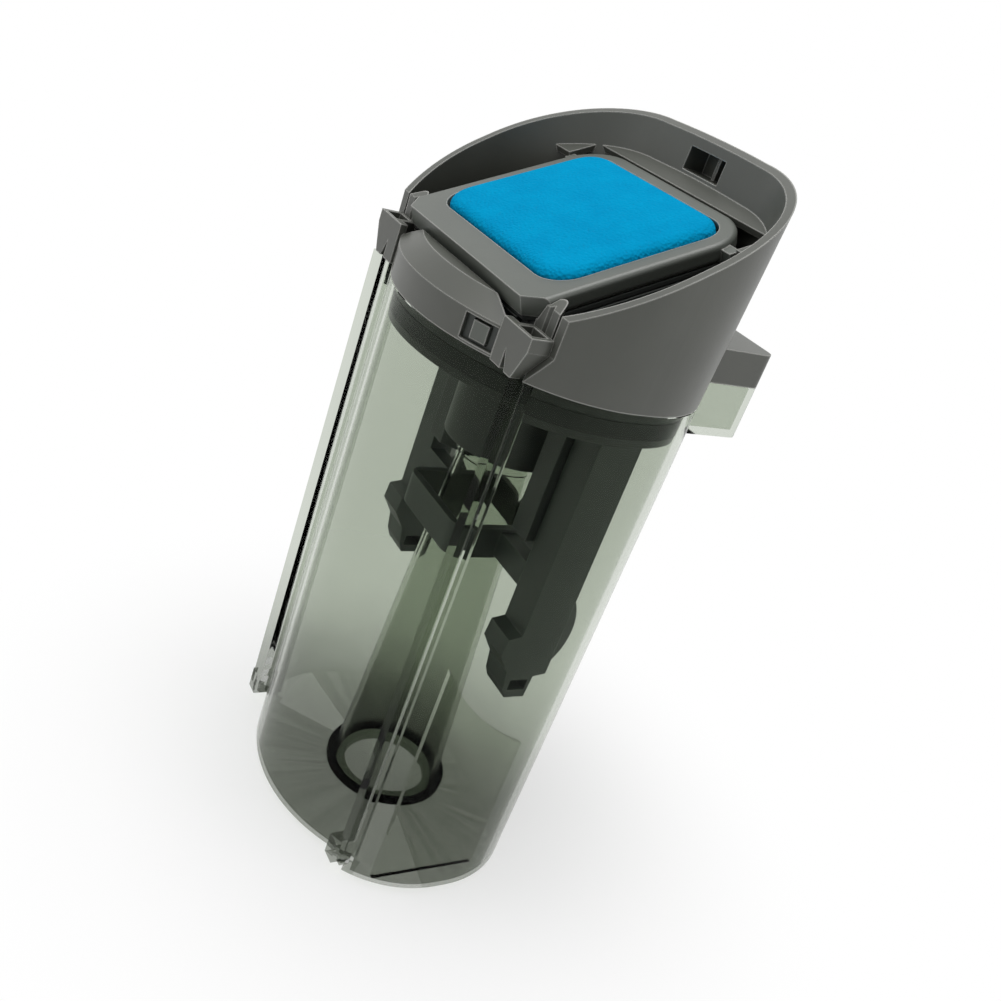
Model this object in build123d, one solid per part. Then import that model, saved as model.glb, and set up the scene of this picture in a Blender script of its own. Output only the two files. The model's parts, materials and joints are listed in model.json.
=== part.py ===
"""Dirty water tank of an upright floor washer, in millimetres, +Z up, standing on its flat floor.

Plan frame while modelling: X runs from guide groove to guide groove, Y runs from the shallow
front lobe (-Y) to the docking lug (+Y), and Y = 0 is the line between the two grooves.
Everything is moved at the end so that the origin is below the middle of the tank.
"""
from math import asin, atan2, cos, degrees, hypot, sin, sqrt
import os

from build123d import *

# Plan of the tank body
GUIDE_SPAN = 82.0            # between the outer edges of the two guide rails
BODY_WIDTH = 105.2           # widest place of the rear lobe
BODY_BACK = 63.1             # crown of the rear wall, ahead of the groove line
BACK_CORNER_RADIUS = 33.0
BACK_CROWN = 0.6             # how far the rear wall bows out between its corners
SIDE_STRAIGHT = 3.5          # straight stretch of the side wall ahead of the rear corner
NOTCH_INSET = 3.9            # the V groove runs this far inwards from the rail edge
NOTCH_DEPTH = 4.4            # and this far back
FRONT_DEPTH = 10.3           # the front lobe bows this far out of the groove line
DRAFT_SCALE = 0.981          # the moulded body is this much smaller at its foot

# Vessel
VESSEL_HEIGHT = 158.0
WALL = 2.0
FLOOR = 2.6
FLOOR_EDGE = 2.8             # bevel round the foot
RAIL_WIDTH = 2.4
RAIL_PROUD = 2.0
RAIL_START = 6.0             # the rails begin this far above the floor
END_STOP_LENGTH = 6.6        # block at the foot of each groove, along X
END_STOP_FRONT_Y = -3.5
END_STOP_BOTTOM = 5.0
END_STOP_TOP = 12.0          # the upright foot band ends here, and the draft begins
PANEL_THICKNESS = 1.4        # inner splash panel
PANEL_INSET = 8.6            # its middle plane from the widest place of the body
PANEL_FRONT_Y = 8.0
PANEL_BACK_Y = 41.0
PANEL_TALL = 78.0
PANEL_LOW = 50.0

# Docking lug at the back of the vessel
LUG_HALF_WIDTH = 26.0
LUG_BACK = 90.5
LUG_DROP = 15.4              # the lug's floor is this far below the vessel's rim
LUG_RISE = 10.4              # and its cap's top this far above it
LUG_CORNER_RADIUS = 3.0
LUG_WALL = 1.8

# Riser pipe
RISER_Y = 31.5
RISER_FOOT_RADIUS = 17.3
RISER_TOP_RADIUS = 11.2
RISER_DROP = 37.0            # its mouth below the vessel's rim
RISER_WALL = 1.6
RISER_FLANGE = 2.2
GASKET_LIFT = 0.4            # lower face above the floor level
GASKET_THICKNESS = 2.4

# Lid
SPLIT_GAP = 0.3              # the lid hangs this far above the vessel's rim
PLUG_DROP = 9.2              # the plug reaches this far below the vessel's rim
PLUG_GAP = 0.45              # plug to vessel wall
PLUG_WALL = 2.0
DECK = 2.5
LEDGE = 2.0                  # upper part of the deck, which locates the collar and the cap
SEAL_HEIGHT = 4.4
SEAL_LIFT = 2.0              # above the plug's lower edge
SEAL_DEPTH = 1.1
COLLAR_WALL = 2.2
COLLAR_FLARE = 1.03          # the collar widens by this much up to its highest point
RIM_FRONT_RISE = 13.6        # rim above the split line at the grooves
RIM_SLOPE = 0.82
RIM_SAG = 0.181              # the slope eases off towards the back
CAP_SKIRT = 8.0
CAP_TOP_RISE = 13.0
CAP_WALL = 2.0
CAP_BACK_Y = -0.5
POCKET_RISE = 11.0           # top of the pocket blocks above the split line
POCKET_TAPER = 7.5           # height over which a pocket block widens
POCKET_LENGTH = 9.2          # along X
POCKET_SHIFT = 0.9           # middle of a pocket outside the bottom of its groove
POCKET_FOOT = 3.0
POCKET_FRONT_Y = -2.6
POCKET_BACK_Y = 3.5
POCKET_HOLE_LENGTH = 6.4
POCKET_HOLE_WIDTH = 4.2
POCKET_DEPTH = 4.6
POCKET_WEB = 8.3             # reach of the web from the middle of the block towards the cap

# Side catches behind the windows of the cap
WINDOW_INSET = 16.5          # middle of a window, inside the rail's edge, on the front arc
WINDOW_WIDTH = 9.6
WINDOW_HEIGHT = 6.4
WINDOW_RISE = 0.8            # lower edge of a window above the split line
BEZEL_THICKNESS = 0.9
BEZEL_SUNK = 1.3
CATCH_BUTTON = 4.6
CATCH_SUNK = 0.5
CATCH_FLANGE = 6.0
CATCH_FLANGE_THICKNESS = 1.0
SPRING_STRIP = 0.4
SPRING_RIB = 1.6

# Filter pack, laid on a slope that rises to the back
FILTER_LIFT = 17.0           # the tray's top face above the vessel's rim, on the groove line
FILTER_SLOPE = 0.48
FILTER_FRONT_Y = -1.0
FILTER_BACK_Y = 55.5
TRAY_INSET = 5.5             # its sides inside the rail's edge
TRAY_THICKNESS = 5.0
TRAY_SKIRT = 9.0
TRAY_SEAL = 1.2
TRAY_WALL = 2.0
TRAY_EDGE = 1.5
TRAY_CORNER = 13.0           # rounding of its rear corners
TRAY_CUT = 5.0               # bevel of its front corners, beside the grooves
TRAY_EAR = 3.0               # small ear on each side, near the back
TRAY_EAR_Y = 47.0
TRAY_EAR_LENGTH = 3.2
PAD_MARGIN = 4.6             # tray rim left beside and behind the sponge
PAD_FRONT_MARGIN = 7.9       # and in front of it
PAD_CORNER = 8.0
PAD_THICKNESS = 8.0
PAD_PROUD = 3.0
PLEAT_DEPTH = 7.0
PLEAT_COUNT = 11
SHEET = 0.9                  # filter paper, laid in folds
WELL_WALL = 1.8
WELL_GAP = 0.5
GRILLE_BAR = 1.6
GRILLE_PITCH = 8.0

# Separator hood under the deck
HOOD_HALF_WIDTH = 30.3
HOOD_FRONT_Y = 27.0
HOOD_BACK_Y = 43.0
HOOD_GAP = 0.5               # left between the hood and the float's ring at its highest
HOOD_CHANNEL = 17.0          # half width of the channel that the riser stands in
HOOD_CHAMFER = 6.0
BRIDGE_INSET = 3.0           # the bridge between the side blocks is this much narrower at each edge
CUP_RADIUS = 17.0
CUP_WALL = 2.0
CUP_DROP = 35.5              # the cup's mouth below the vessel's rim
CUP_ROOF_DROP = 17.0

# Float
FLOAT_INNER_X = 31.0
FLOAT_OUTER_X = 41.0
FLOAT_FRONT_Y = 29.5
FLOAT_BACK_Y = 42.6
FLOAT_CUT = 5.4              # bevel of its inner rear edge
FLOAT_DROP = 93.5            # its foot below the vessel's rim
FLOAT_BEVEL = 0.5            # small bevels of its foot
FLOAT_HOOK = 4.5             # the foot's hook stands this far ahead of the float
FLOAT_HOOK_LOW = 9.0
FLOAT_HOOK_HIGH = 21.0
FLOAT_TOE = 8.5              # length of its lowest part
FLOAT_HEEL = 7.5             # height of the step behind the toe
FLOAT_BELLY = 6.0            # the belly stands this far behind the float
FLOAT_BELLY_TOP = 33.5
BELLY_INSET = 3.0            # the belly is this much narrower than the float, on its outer side
EYE_LENGTH = 5.5
EYE_LOW = 2.5
EYE_HIGH = 6.0
FLOAT_TRAVEL = 4.5
RING_INNER = 14.5            # half width of the square window round the riser
RING_WALL = 2.2
RING_CORNER = 5.0
RING_DROP = 63.5             # its lower face below the vessel's rim
RING_HEIGHT = 9.5
STRAP_WIDTH = 5.0
STRAP_INSET = 1.0            # the straps are this much lower than the ring at each edge
PORT_RADIUS = 3.6
PORT_Y = 34.4
VALVE_SEAT = 2.0
VALVE_SEAT_WALL = 1.2
VALVE_PAD = 2.0
BAY_HEIGHT = 8.0             # side bays of the well, over the air ports
BAY_HALF_WIDTH = 44.0
BAY_FRONT_Y = 26.0
BAY_BACK_Y = 44.0

# Shelf behind the tray and finger recess in the rear wall of the collar
SHELF_FRONT_Y = 47.0
SHELF_GAP = 0.8              # along the slope, behind the tray
SHELF_DROP = 0.6             # below the tray's top face
SHELF_THICKNESS = 1.8
RECESS_WIDTH = 15.0
RECESS_HEIGHT = 6.2
RECESS_BACK = 69.5           # Y of its rear face, behind the rear wall
RECESS_WALL = 1.6
RECESS_RIB = 1.2

# Fasteners
SCREW_HEAD_RADIUS = 2.6
SCREW_RADIUS = 1.2
SCREW_HEAD = 1.6
SCREW_LENGTH = 9.0
SCREW_EDGE = 0.6             # bevel of its head
RECESS_SLOT_LENGTH = 3.0     # cross recess of a screw head
RECESS_SLOT_WIDTH = 0.6

CLEAR = 0.3                  # running clearance between pieces that move apart
FIT = 0.05                   # gap between pieces that are fixed together
OVER = 1.0                   # a cut reaches this far past the face it opens

HALF_SPAN = GUIDE_SPAN / 2
HALF_WIDTH = BODY_WIDTH / 2
TRAY_HALF_WIDTH = HALF_SPAN - TRAY_INSET
WINDOW_X = HALF_SPAN - WINDOW_INSET
NOTCH_X = HALF_SPAN - NOTCH_INSET
BACK_FLAT_Y = BODY_BACK - BACK_CROWN
CORNER_Y = BACK_FLAT_Y - BACK_CORNER_RADIUS
CORNER_X = HALF_WIDTH - BACK_CORNER_RADIUS
SIDE_Y = CORNER_Y - SIDE_STRAIGHT
SPLIT_Z = VESSEL_HEIGHT + SPLIT_GAP
LUG_BOTTOM = VESSEL_HEIGHT - LUG_DROP
LUG_TOP = VESSEL_HEIGHT + LUG_RISE
RISER_TOP = VESSEL_HEIGHT - RISER_DROP
PLUG_BOTTOM = VESSEL_HEIGHT - PLUG_DROP
FILTER_RISE = VESSEL_HEIGHT + FILTER_LIFT
CUP_BOTTOM = VESSEL_HEIGHT - CUP_DROP
CUP_ROOF = VESSEL_HEIGHT - CUP_ROOF_DROP
FLOAT_FOOT = VESSEL_HEIGHT - FLOAT_DROP
RING_BOTTOM = VESSEL_HEIGHT - RING_DROP
RING_TOP = RING_BOTTOM + RING_HEIGHT
RING_OUTER = RING_INNER + RING_WALL
HOOD_BOTTOM = RING_TOP + FLOAT_TRAVEL + HOOD_GAP
SLOPE_ANGLE = degrees(atan2(FILTER_SLOPE, 1.0))
DECK_TOP = SPLIT_Z + LEDGE
PORT_X = (FLOAT_INNER_X + FLOAT_OUTER_X) / 2
FLOAT_TOP = SPLIT_Z - DECK - VALVE_SEAT - CLEAR - FLOAT_TRAVEL - VALVE_PAD
MIDDLE_Y = (LUG_BACK - FRONT_DEPTH) / 2


def side_arc_middle():
    """Point half way round the arc from the rail edge to the side wall, which it meets tangentially."""
    reach = HALF_WIDTH - HALF_SPAN
    radius = (reach**2 + SIDE_Y**2) / (2 * reach)
    turn = atan2(SIDE_Y, radius - reach) / 2
    return (HALF_WIDTH - radius + radius * cos(turn), SIDE_Y - radius * sin(turn))


def rear_lobe_edges():
    """The open run of edges from the right rail edge round the back to the left one."""
    mid_x, mid_y = side_arc_middle()
    diagonal = BACK_CORNER_RADIUS / sqrt(2)
    corner = (CORNER_X + diagonal, CORNER_Y + diagonal)
    return [
        ThreePointArc((HALF_SPAN, 0), (mid_x, mid_y), (HALF_WIDTH, SIDE_Y)),
        Line((HALF_WIDTH, SIDE_Y), (HALF_WIDTH, CORNER_Y)),
        ThreePointArc((HALF_WIDTH, CORNER_Y), corner, (CORNER_X, BACK_FLAT_Y)),
        ThreePointArc((CORNER_X, BACK_FLAT_Y), (0, BODY_BACK), (-CORNER_X, BACK_FLAT_Y)),
        ThreePointArc((-CORNER_X, BACK_FLAT_Y), (-corner[0], corner[1]), (-HALF_WIDTH, CORNER_Y)),
        Line((-HALF_WIDTH, CORNER_Y), (-HALF_WIDTH, SIDE_Y)),
        ThreePointArc((-HALF_WIDTH, SIDE_Y), (-mid_x, mid_y), (-HALF_SPAN, 0)),
    ]


def body_section():
    """Outer section of the tank: rear lobe, two V grooves and the shallow front lobe."""
    edges = rear_lobe_edges() + [
        Line((-HALF_SPAN, 0), (-NOTCH_X, NOTCH_DEPTH)),
        ThreePointArc((-NOTCH_X, NOTCH_DEPTH), (0, -FRONT_DEPTH), (NOTCH_X, NOTCH_DEPTH)),
        Line((NOTCH_X, NOTCH_DEPTH), (HALF_SPAN, 0)),
    ]
    return make_face(edges)


def rear_section(front_y):
    """The rear lobe alone, closed by a straight line at front_y."""
    cut = Pos(0, front_y + BODY_BACK) * Rectangle(2 * BODY_WIDTH, 2 * BODY_BACK)
    return body_section() & cut


def inset(face, amount):
    """The same section, smaller all round by amount."""
    return offset(face, amount=-amount, kind=Kind.ARC)


def body_scale(z):
    """Size of the body's section at z: upright in the foot band and beside the lug, drafted between them."""
    share = (z - END_STOP_TOP) / (LUG_BOTTOM - END_STOP_TOP)
    return DRAFT_SCALE + (1 - DRAFT_SCALE) * min(max(share, 0.0), 1.0)


def section_at(face, z):
    """The section at that height, in the size that the body has there."""
    return Pos(0, 0, z) * scale(face, by=body_scale(z))


def drafted(face, bottom_z, top_z):
    """A moulded wall of this section between two heights, with the draft of the body."""
    return loft([section_at(face, bottom_z), section_at(face, top_z)], ruled=True)


def upright(face, bottom_z, top_z):
    """A straight stretch of the body, in the size that it has at its lower end."""
    return extrude(section_at(face, bottom_z), amount=top_z - bottom_z)


def block(x0, x1, y0, y1, z0, z1):
    """Plain box between two corners."""
    return Pos((x0 + x1) / 2, (y0 + y1) / 2, (z0 + z1) / 2) * Box(x1 - x0, y1 - y0, z1 - z0)


def drum(x, y, z0, z1, radius):
    """Upright cylinder between two heights."""
    return Pos(x, y, (z0 + z1) / 2) * Cylinder(radius, z1 - z0)


def both_sides(shape):
    """The shape and its mirror image on the other side of the tank."""
    return [shape, mirror(shape, about=Plane.YZ)]


def filter_height(y):
    """Height of the tray's top face at y."""
    return FILTER_RISE + FILTER_SLOPE * y


def on_slope(shape):
    """Carry a shape from a flat plane onto the filter's slope; its z = 0 becomes the tray's top face."""
    return Pos(0, 0, FILTER_RISE) * Rot(SLOPE_ANGLE, 0, 0) * shape


def slope_length(y):
    """Distance along the slope from the groove line to y."""
    return y * hypot(1.0, FILTER_SLOPE)


# Vessel

def lug_outline(grow=0.0):
    """Plan of the docking lug, from inside the rear wall to its back face."""
    half = LUG_HALF_WIDTH + grow
    front = BACK_FLAT_Y - BACK_CROWN - WALL / 2
    depth = LUG_BACK + grow - front
    plate = Pos(0, front + depth / 2) * Rectangle(2 * half, depth)
    rear = plate.vertices().sort_by(Axis.Y)[-2:]
    return fillet(rear, LUG_CORNER_RADIUS + grow)


def railed_section():
    """The body's section with the two guide rails along the outer edges of its grooves."""
    rail = Pos(HALF_SPAN + (RAIL_PROUD / 2 - RAIL_WIDTH) / 2, (WALL - RAIL_PROUD) / 2)
    rail *= Rectangle(RAIL_WIDTH + RAIL_PROUD / 2, WALL + RAIL_PROUD)
    return (body_section() + both_sides(rail)).face()


def vessel_outside():
    """Outside of the vessel: a bevelled foot band, the drafted body and the upright top with its lug."""
    foot = upright(body_section(), 0, END_STOP_TOP)
    foot = chamfer(foot.faces().sort_by(Axis.Z)[0].edges(), FLOOR_EDGE)
    foot += upright(railed_section(), RAIL_START, END_STOP_TOP)
    stop = block(HALF_SPAN - END_STOP_LENGTH, HALF_SPAN - WALL, END_STOP_FRONT_Y, NOTCH_DEPTH,
                 END_STOP_BOTTOM, END_STOP_TOP)
    foot += both_sides(stop)
    body = drafted(railed_section(), END_STOP_TOP, LUG_BOTTOM)
    lug = extrude(Pos(0, 0, LUG_BOTTOM) * lug_outline(), amount=VESSEL_HEIGHT - LUG_BOTTOM)
    return foot + body + (upright(railed_section(), LUG_BOTTOM, VESSEL_HEIGHT) + lug)


def vessel():
    """Clear moulded body with rails, end stops and the hollow lower half of the lug."""
    section = body_section()
    cavity = drafted(inset(section, WALL), FLOOR, VESSEL_HEIGHT + OVER)
    lug_room = extrude(Pos(0, 0, LUG_BOTTOM + LUG_WALL) * inset(lug_outline(), LUG_WALL),
                       amount=VESSEL_HEIGHT - LUG_BOTTOM)
    lug_room -= upright(section, LUG_BOTTOM, VESSEL_HEIGHT + LUG_WALL)
    inlet = drum(0, RISER_Y, -OVER, FLOOR + OVER, RISER_FOOT_RADIUS - RISER_WALL)
    return vessel_outside() - cavity - lug_room - inlet


def riser():
    """Tapered clear pipe that brings the dirty water up from the floor inlet."""
    foot, top, wall = RISER_FOOT_RADIUS, RISER_TOP_RADIUS, RISER_WALL
    profile = make_face(Polyline(
        (foot - wall, FLOOR), (foot + RISER_FLANGE, FLOOR), (foot + RISER_FLANGE, FLOOR + wall),
        (foot, FLOOR + wall), (top, RISER_TOP - 2 * wall), (top + wall / 2, RISER_TOP - 2 * wall),
        (top + wall / 2, RISER_TOP), (top - wall, RISER_TOP), close=True))
    return Pos(0, RISER_Y, 0) * revolve(Plane.XZ * profile, Axis.Z)


def inlet_gasket():
    """Rubber ring pressed into the floor inlet, with a lip that meets the machine's duct."""
    outer = RISER_FOOT_RADIUS - RISER_WALL
    ring = drum(0, RISER_Y, GASKET_LIFT, FLOOR, outer)
    return ring - drum(0, RISER_Y, 0, FLOOR + OVER, outer - GASKET_THICKNESS)


def splash_panel():
    """Curved-top panel that stands on the floor beside the riser and keeps the water off the float."""
    outline = make_face([
        Line((PANEL_FRONT_Y, FLOOR), (PANEL_FRONT_Y, PANEL_TALL)),
        ThreePointArc((PANEL_FRONT_Y, PANEL_TALL),
                      (PANEL_FRONT_Y + 0.4 * (PANEL_BACK_Y - PANEL_FRONT_Y),
                       PANEL_LOW + 0.45 * (PANEL_TALL - PANEL_LOW)),
                      (PANEL_BACK_Y, PANEL_LOW)),
        Line((PANEL_BACK_Y, PANEL_LOW), (PANEL_BACK_Y, FLOOR)),
        Line((PANEL_BACK_Y, FLOOR), (PANEL_FRONT_Y, FLOOR)),
    ])
    plate = extrude(Plane.YZ * outline, amount=PANEL_THICKNESS / 2, both=True)
    room = drafted(inset(body_section(), WALL), FLOOR, VESSEL_HEIGHT)
    return Pos(HALF_WIDTH - PANEL_INSET, 0, 0) * plate & room


# Lid

def plug_section(extra=0.0):
    """Section of the part of the lid that drops into the vessel."""
    return inset(body_section(), WALL + PLUG_GAP + extra)


def lid_base():
    """Dark plug with its deck, the two air ports and their valve seats."""
    skirt = extrude(Pos(0, 0, PLUG_BOTTOM) * plug_section(), amount=SPLIT_Z - PLUG_BOTTOM)
    room = extrude(Pos(0, 0, PLUG_BOTTOM) * plug_section(PLUG_WALL), amount=SPLIT_Z - DECK - PLUG_BOTTOM)
    groove = extrude(Pos(0, 0, PLUG_BOTTOM + SEAL_LIFT) * plug_section(-WALL / 2), amount=SEAL_HEIGHT)
    groove -= extrude(Pos(0, 0, PLUG_BOTTOM) * plug_section(SEAL_DEPTH), amount=SEAL_HEIGHT + 2 * SEAL_LIFT)
    ledge = extrude(Pos(0, 0, SPLIT_Z) * inset(body_section(), COLLAR_WALL + FIT), amount=LEDGE)
    catch_room = both_sides(window_slab(WINDOW_WIDTH + 2 * OVER, 4 * WINDOW_HEIGHT, 0, 4 * CAP_WALL))
    seat = drum(PORT_X, PORT_Y, SPLIT_Z - DECK - VALVE_SEAT, SPLIT_Z, PORT_RADIUS + VALVE_SEAT_WALL)
    port = drum(PORT_X, PORT_Y, PLUG_BOTTOM, DECK_TOP + OVER, PORT_RADIUS)
    plug = skirt - room - groove + (ledge - catch_room) + both_sides(seat)
    return plug - both_sides(port) - screw_shanks(FIT)


def lid_seal():
    """Rubber seal in the plug's groove."""
    ring = extrude(Pos(0, 0, PLUG_BOTTOM + SEAL_LIFT) * plug_section(CLEAR - PLUG_GAP), amount=SEAL_HEIGHT)
    core = extrude(Pos(0, 0, PLUG_BOTTOM) * plug_section(SEAL_DEPTH), amount=SEAL_HEIGHT + 2 * SEAL_LIFT)
    return ring - core


def rim_height(y):
    """Height of the collar's rim at y."""
    return SPLIT_Z + RIM_FRONT_RISE + RIM_SLOPE * y - RIM_SAG * y * y / GUIDE_SPAN


def under_rim(drop=0.0):
    """Everything below the scooped rim, as one wide block with a curved top."""
    start, middle, end = -BODY_BACK / 3, BODY_BACK / 2, 4 * BODY_BACK / 3
    top = ThreePointArc((start, rim_height(start) - drop), (middle, rim_height(middle) - drop),
                        (end, rim_height(end) - drop))
    low = SPLIT_Z + 3 * start / 2
    outline = make_face([top, Polyline((end, rim_height(end) - drop), (end, low), (start, low),
                                       (start, rim_height(start) - drop))])
    return extrude(Plane.YZ * outline, amount=BODY_WIDTH, both=True)


def pocket_clearance():
    """Wedge that the collar leaves free for the pocket blocks; its rear face leans back with them."""
    front, back = -POCKET_BACK_Y, POCKET_BACK_Y + FIT
    low, high = SPLIT_Z - OVER, SPLIT_Z + 4 * POCKET_RISE
    outline = make_face(Polyline((front, low), (FIT, low), (FIT, SPLIT_Z), (back, SPLIT_Z + POCKET_TAPER),
                                 (back, high), (front, high), close=True))
    return extrude(Plane.YZ * outline, amount=BODY_WIDTH, both=True)


def flared(face, top):
    """Wall of the collar over this section, from the split line up to top, widening on the way."""
    high = Pos(0, 0, top) * scale(face, by=(COLLAR_FLARE, COLLAR_FLARE, 1))
    return loft([Pos(0, 0, SPLIT_Z) * face, high], ruled=True)


def collar():
    """Scooped grey collar round the rear lobe, flush with the vessel."""
    shell = flared(rear_section(0), collar_top())
    room = flared(inset(body_section(), COLLAR_WALL), collar_top())
    half = RECESS_WIDTH / 2 + RECESS_WALL
    floor = filter_height(BODY_BACK)
    bulge = block(-half, half, BODY_BACK - WALL, RECESS_BACK + RECESS_WALL, floor - RECESS_WALL,
                  floor + RECESS_HEIGHT + RECESS_WALL)
    tray_way = slope_slab(tray_plan(-CLEAR), -TRAY_SKIRT, TRAY_THICKNESS + CLEAR)
    shell = (shell + bulge - room - pocket_clearance() - tray_way) & under_rim()
    return shell + (rear_shelf() & room) - recess_room() + recess_rib()


def collar_top():
    """Height at which the collar is wide open, just above the rim's highest point."""
    return rim_height(BODY_BACK) + COLLAR_WALL


def rear_shelf():
    """Shelf behind the tray, in its slope, with a square-cornered opening for the tray."""
    back = slope_length(FILTER_BACK_Y) + SHELF_GAP
    front = slope_length(SHELF_FRONT_Y)
    plate = Pos(0, front + BODY_BACK / 2) * Rectangle(2 * BODY_WIDTH, BODY_BACK)
    opening = Pos(0, back - BODY_BACK / 2) * Rectangle(2 * (TRAY_HALF_WIDTH + TRAY_EAR + CLEAR), BODY_BACK)
    return slope_slab(plate - opening, SHELF_DROP, SHELF_DROP + SHELF_THICKNESS)


def recess_room():
    """Room of the finger recess in the rear wall, from the shelf's level up."""
    half = RECESS_WIDTH / 2
    floor = filter_height(BODY_BACK)
    return block(-half, half, BODY_BACK - 2 * COLLAR_WALL, RECESS_BACK, floor, floor + RECESS_HEIGHT)


def recess_rib():
    """Thin upright rib in the middle of the finger recess."""
    floor = filter_height(BODY_BACK)
    return block(-RECESS_RIB / 2, RECESS_RIB / 2, RECESS_BACK - 2 * RECESS_RIB, RECESS_BACK + RECESS_RIB,
                 floor - RECESS_RIB, floor + RECESS_HEIGHT + RECESS_RIB)


def lug_cap():
    """Grey cap over the docking lug, in line with the collar."""
    outline = lug_outline()
    cap = extrude(Pos(0, 0, SPLIT_Z) * outline, amount=LUG_TOP - SPLIT_Z)
    room = extrude(Pos(0, 0, SPLIT_Z) * inset(outline, LUG_WALL), amount=LUG_TOP - SPLIT_Z - LUG_WALL)
    return cap - room - flared(body_section(), collar_top())


def cap_section():
    """Half-moon plan of the front cap."""
    cut = Pos(0, CAP_BACK_Y - BODY_BACK) * Rectangle(2 * BODY_WIDTH, 2 * BODY_BACK)
    return body_section() & cut


def pocket_block():
    """Funnel block over the right groove, with its oblong hole and the web that joins it to the cap."""
    top = SPLIT_Z + POCKET_RISE
    shoulder = SPLIT_Z + POCKET_TAPER
    x = NOTCH_X + POCKET_SHIFT
    low = Pos(x, POCKET_FRONT_Y / 2, SPLIT_Z) * Rectangle(POCKET_FOOT, -POCKET_FRONT_Y)
    depth = POCKET_BACK_Y - POCKET_FRONT_Y
    middle = (x, (POCKET_BACK_Y + POCKET_FRONT_Y) / 2)
    high = Pos(*middle, shoulder) * Rectangle(POCKET_LENGTH, depth)
    body = loft([low, high], ruled=True)
    body += extrude(high, amount=top - shoulder, dir=(0, 0, 1))
    hole = Pos(*middle, top) * Box(POCKET_HOLE_LENGTH, POCKET_HOLE_WIDTH, 2 * POCKET_DEPTH)
    web = block(x - POCKET_WEB, x - POCKET_LENGTH / 2 + OVER, POCKET_FRONT_Y, CAP_BACK_Y, SPLIT_Z, top)
    return body + web - hole


def window_plane():
    """Plane on the front arc at the middle of the right window; its normal points out of the cap."""
    half_chord = NOTCH_X
    sagitta = FRONT_DEPTH + NOTCH_DEPTH
    radius = (half_chord**2 + sagitta**2) / (2 * sagitta)
    turn = asin(WINDOW_X / radius)
    height = SPLIT_Z + WINDOW_RISE + WINDOW_HEIGHT / 2
    origin = (WINDOW_X, radius - FRONT_DEPTH - radius * cos(turn), height)
    return Plane(origin=origin, x_dir=(cos(turn), sin(turn), 0), z_dir=(sin(turn), -cos(turn), 0))


def window_slab(width, height, outer, inner):
    """Block centred on the right window, between two depths below the front arc."""
    return window_plane() * (Pos(0, 0, -(outer + inner) / 2) * Box(width, height, inner - outer))


def front_cap():
    """Half-moon cap over the front lobe with a sloped top edge, two windows and two pocket blocks."""
    section = cap_section()
    solid = extrude(Pos(0, 0, SPLIT_Z) * section, amount=CAP_TOP_RISE)
    arc_edge = solid.faces().sort_by(Axis.Z)[-1].edges().filter_by(GeomType.CIRCLE)
    solid = chamfer(arc_edge, CAP_TOP_RISE - CAP_SKIRT)
    open_back = Pos(0, CAP_BACK_Y - BODY_BACK + OVER) * Rectangle(2 * BODY_WIDTH, 2 * BODY_BACK)
    room_plan = inset(body_section(), CAP_WALL) & open_back
    solid -= extrude(Pos(0, 0, SPLIT_Z - OVER) * room_plan, amount=CAP_SKIRT)
    solid += both_sides(pocket_block())
    solid += both_sides(spring_rib())
    return solid - both_sides(window_slab(WINDOW_WIDTH, WINDOW_HEIGHT, -OVER, 2 * CAP_WALL))


def catch_bezel():
    """Dark plate set in the right window, with a square hole for the button."""
    plate = window_slab(WINDOW_WIDTH, WINDOW_HEIGHT, BEZEL_SUNK, BEZEL_SUNK + BEZEL_THICKNESS)
    hole = CATCH_BUTTON + 2 * CLEAR
    return plate - window_slab(hole, hole, 0, 2 * CAP_WALL)


def catch():
    """Button of the right catch with the flange that keeps it behind the plate."""
    button = window_slab(CATCH_BUTTON, CATCH_BUTTON, CATCH_SUNK, flange_back())
    front = flange_back() - CATCH_FLANGE_THICKNESS
    return button + window_slab(CATCH_FLANGE, CATCH_FLANGE, front, flange_back())


def catch_spring():
    """Leaf spring behind the right button, held at its inner end by a rib of the cap."""
    back = flange_back()
    length = CATCH_FLANGE + CLEAR + SPRING_RIB
    leaf = window_slab(length, CATCH_BUTTON, back, back + SPRING_STRIP)
    return along_window(leaf, -(CLEAR + SPRING_RIB) / 2)


def along_window(shape, distance):
    """The shape moved along the right window, outwards where the distance is positive."""
    return Pos(*(window_plane().x_dir * distance)) * shape


def flange_back():
    """Depth of the rear face of the button's flange below the front arc."""
    return BEZEL_SUNK + BEZEL_THICKNESS + CLEAR + CATCH_FLANGE_THICKNESS


def spring_rib():
    """Rib inside the cap that holds the inner end of the right leaf spring."""
    back = flange_back() + SPRING_STRIP
    low, high = window_plane().origin.Z - CATCH_BUTTON / 2, SPLIT_Z + CAP_SKIRT
    rib = window_slab(SPRING_RIB, 2 * (high - low), back, back + SPRING_RIB)
    rib = along_window(rib, -(CATCH_FLANGE + SPRING_RIB) / 2 - CLEAR)
    return rib & block(-BODY_WIDTH, BODY_WIDTH, -BODY_WIDTH, BODY_WIDTH, low, high)


# Filter pack

def tray_plan(shrink=0.0):
    """Rounded plan of the filter tray in its own slope plane, smaller all round by shrink."""
    front, back = slope_length(FILTER_FRONT_Y), slope_length(FILTER_BACK_Y)
    plate = Rectangle(2 * (TRAY_HALF_WIDTH - shrink), back - front - 2 * shrink)
    corners = plate.vertices().sort_by(Axis.Y)
    plate = chamfer(corners[:2], TRAY_CUT - (2 - sqrt(2)) * shrink)
    plate = fillet(plate.vertices().sort_by(Axis.Y)[-2:], TRAY_CORNER - shrink)
    return Pos(0, (front + back) / 2) * plate


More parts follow.
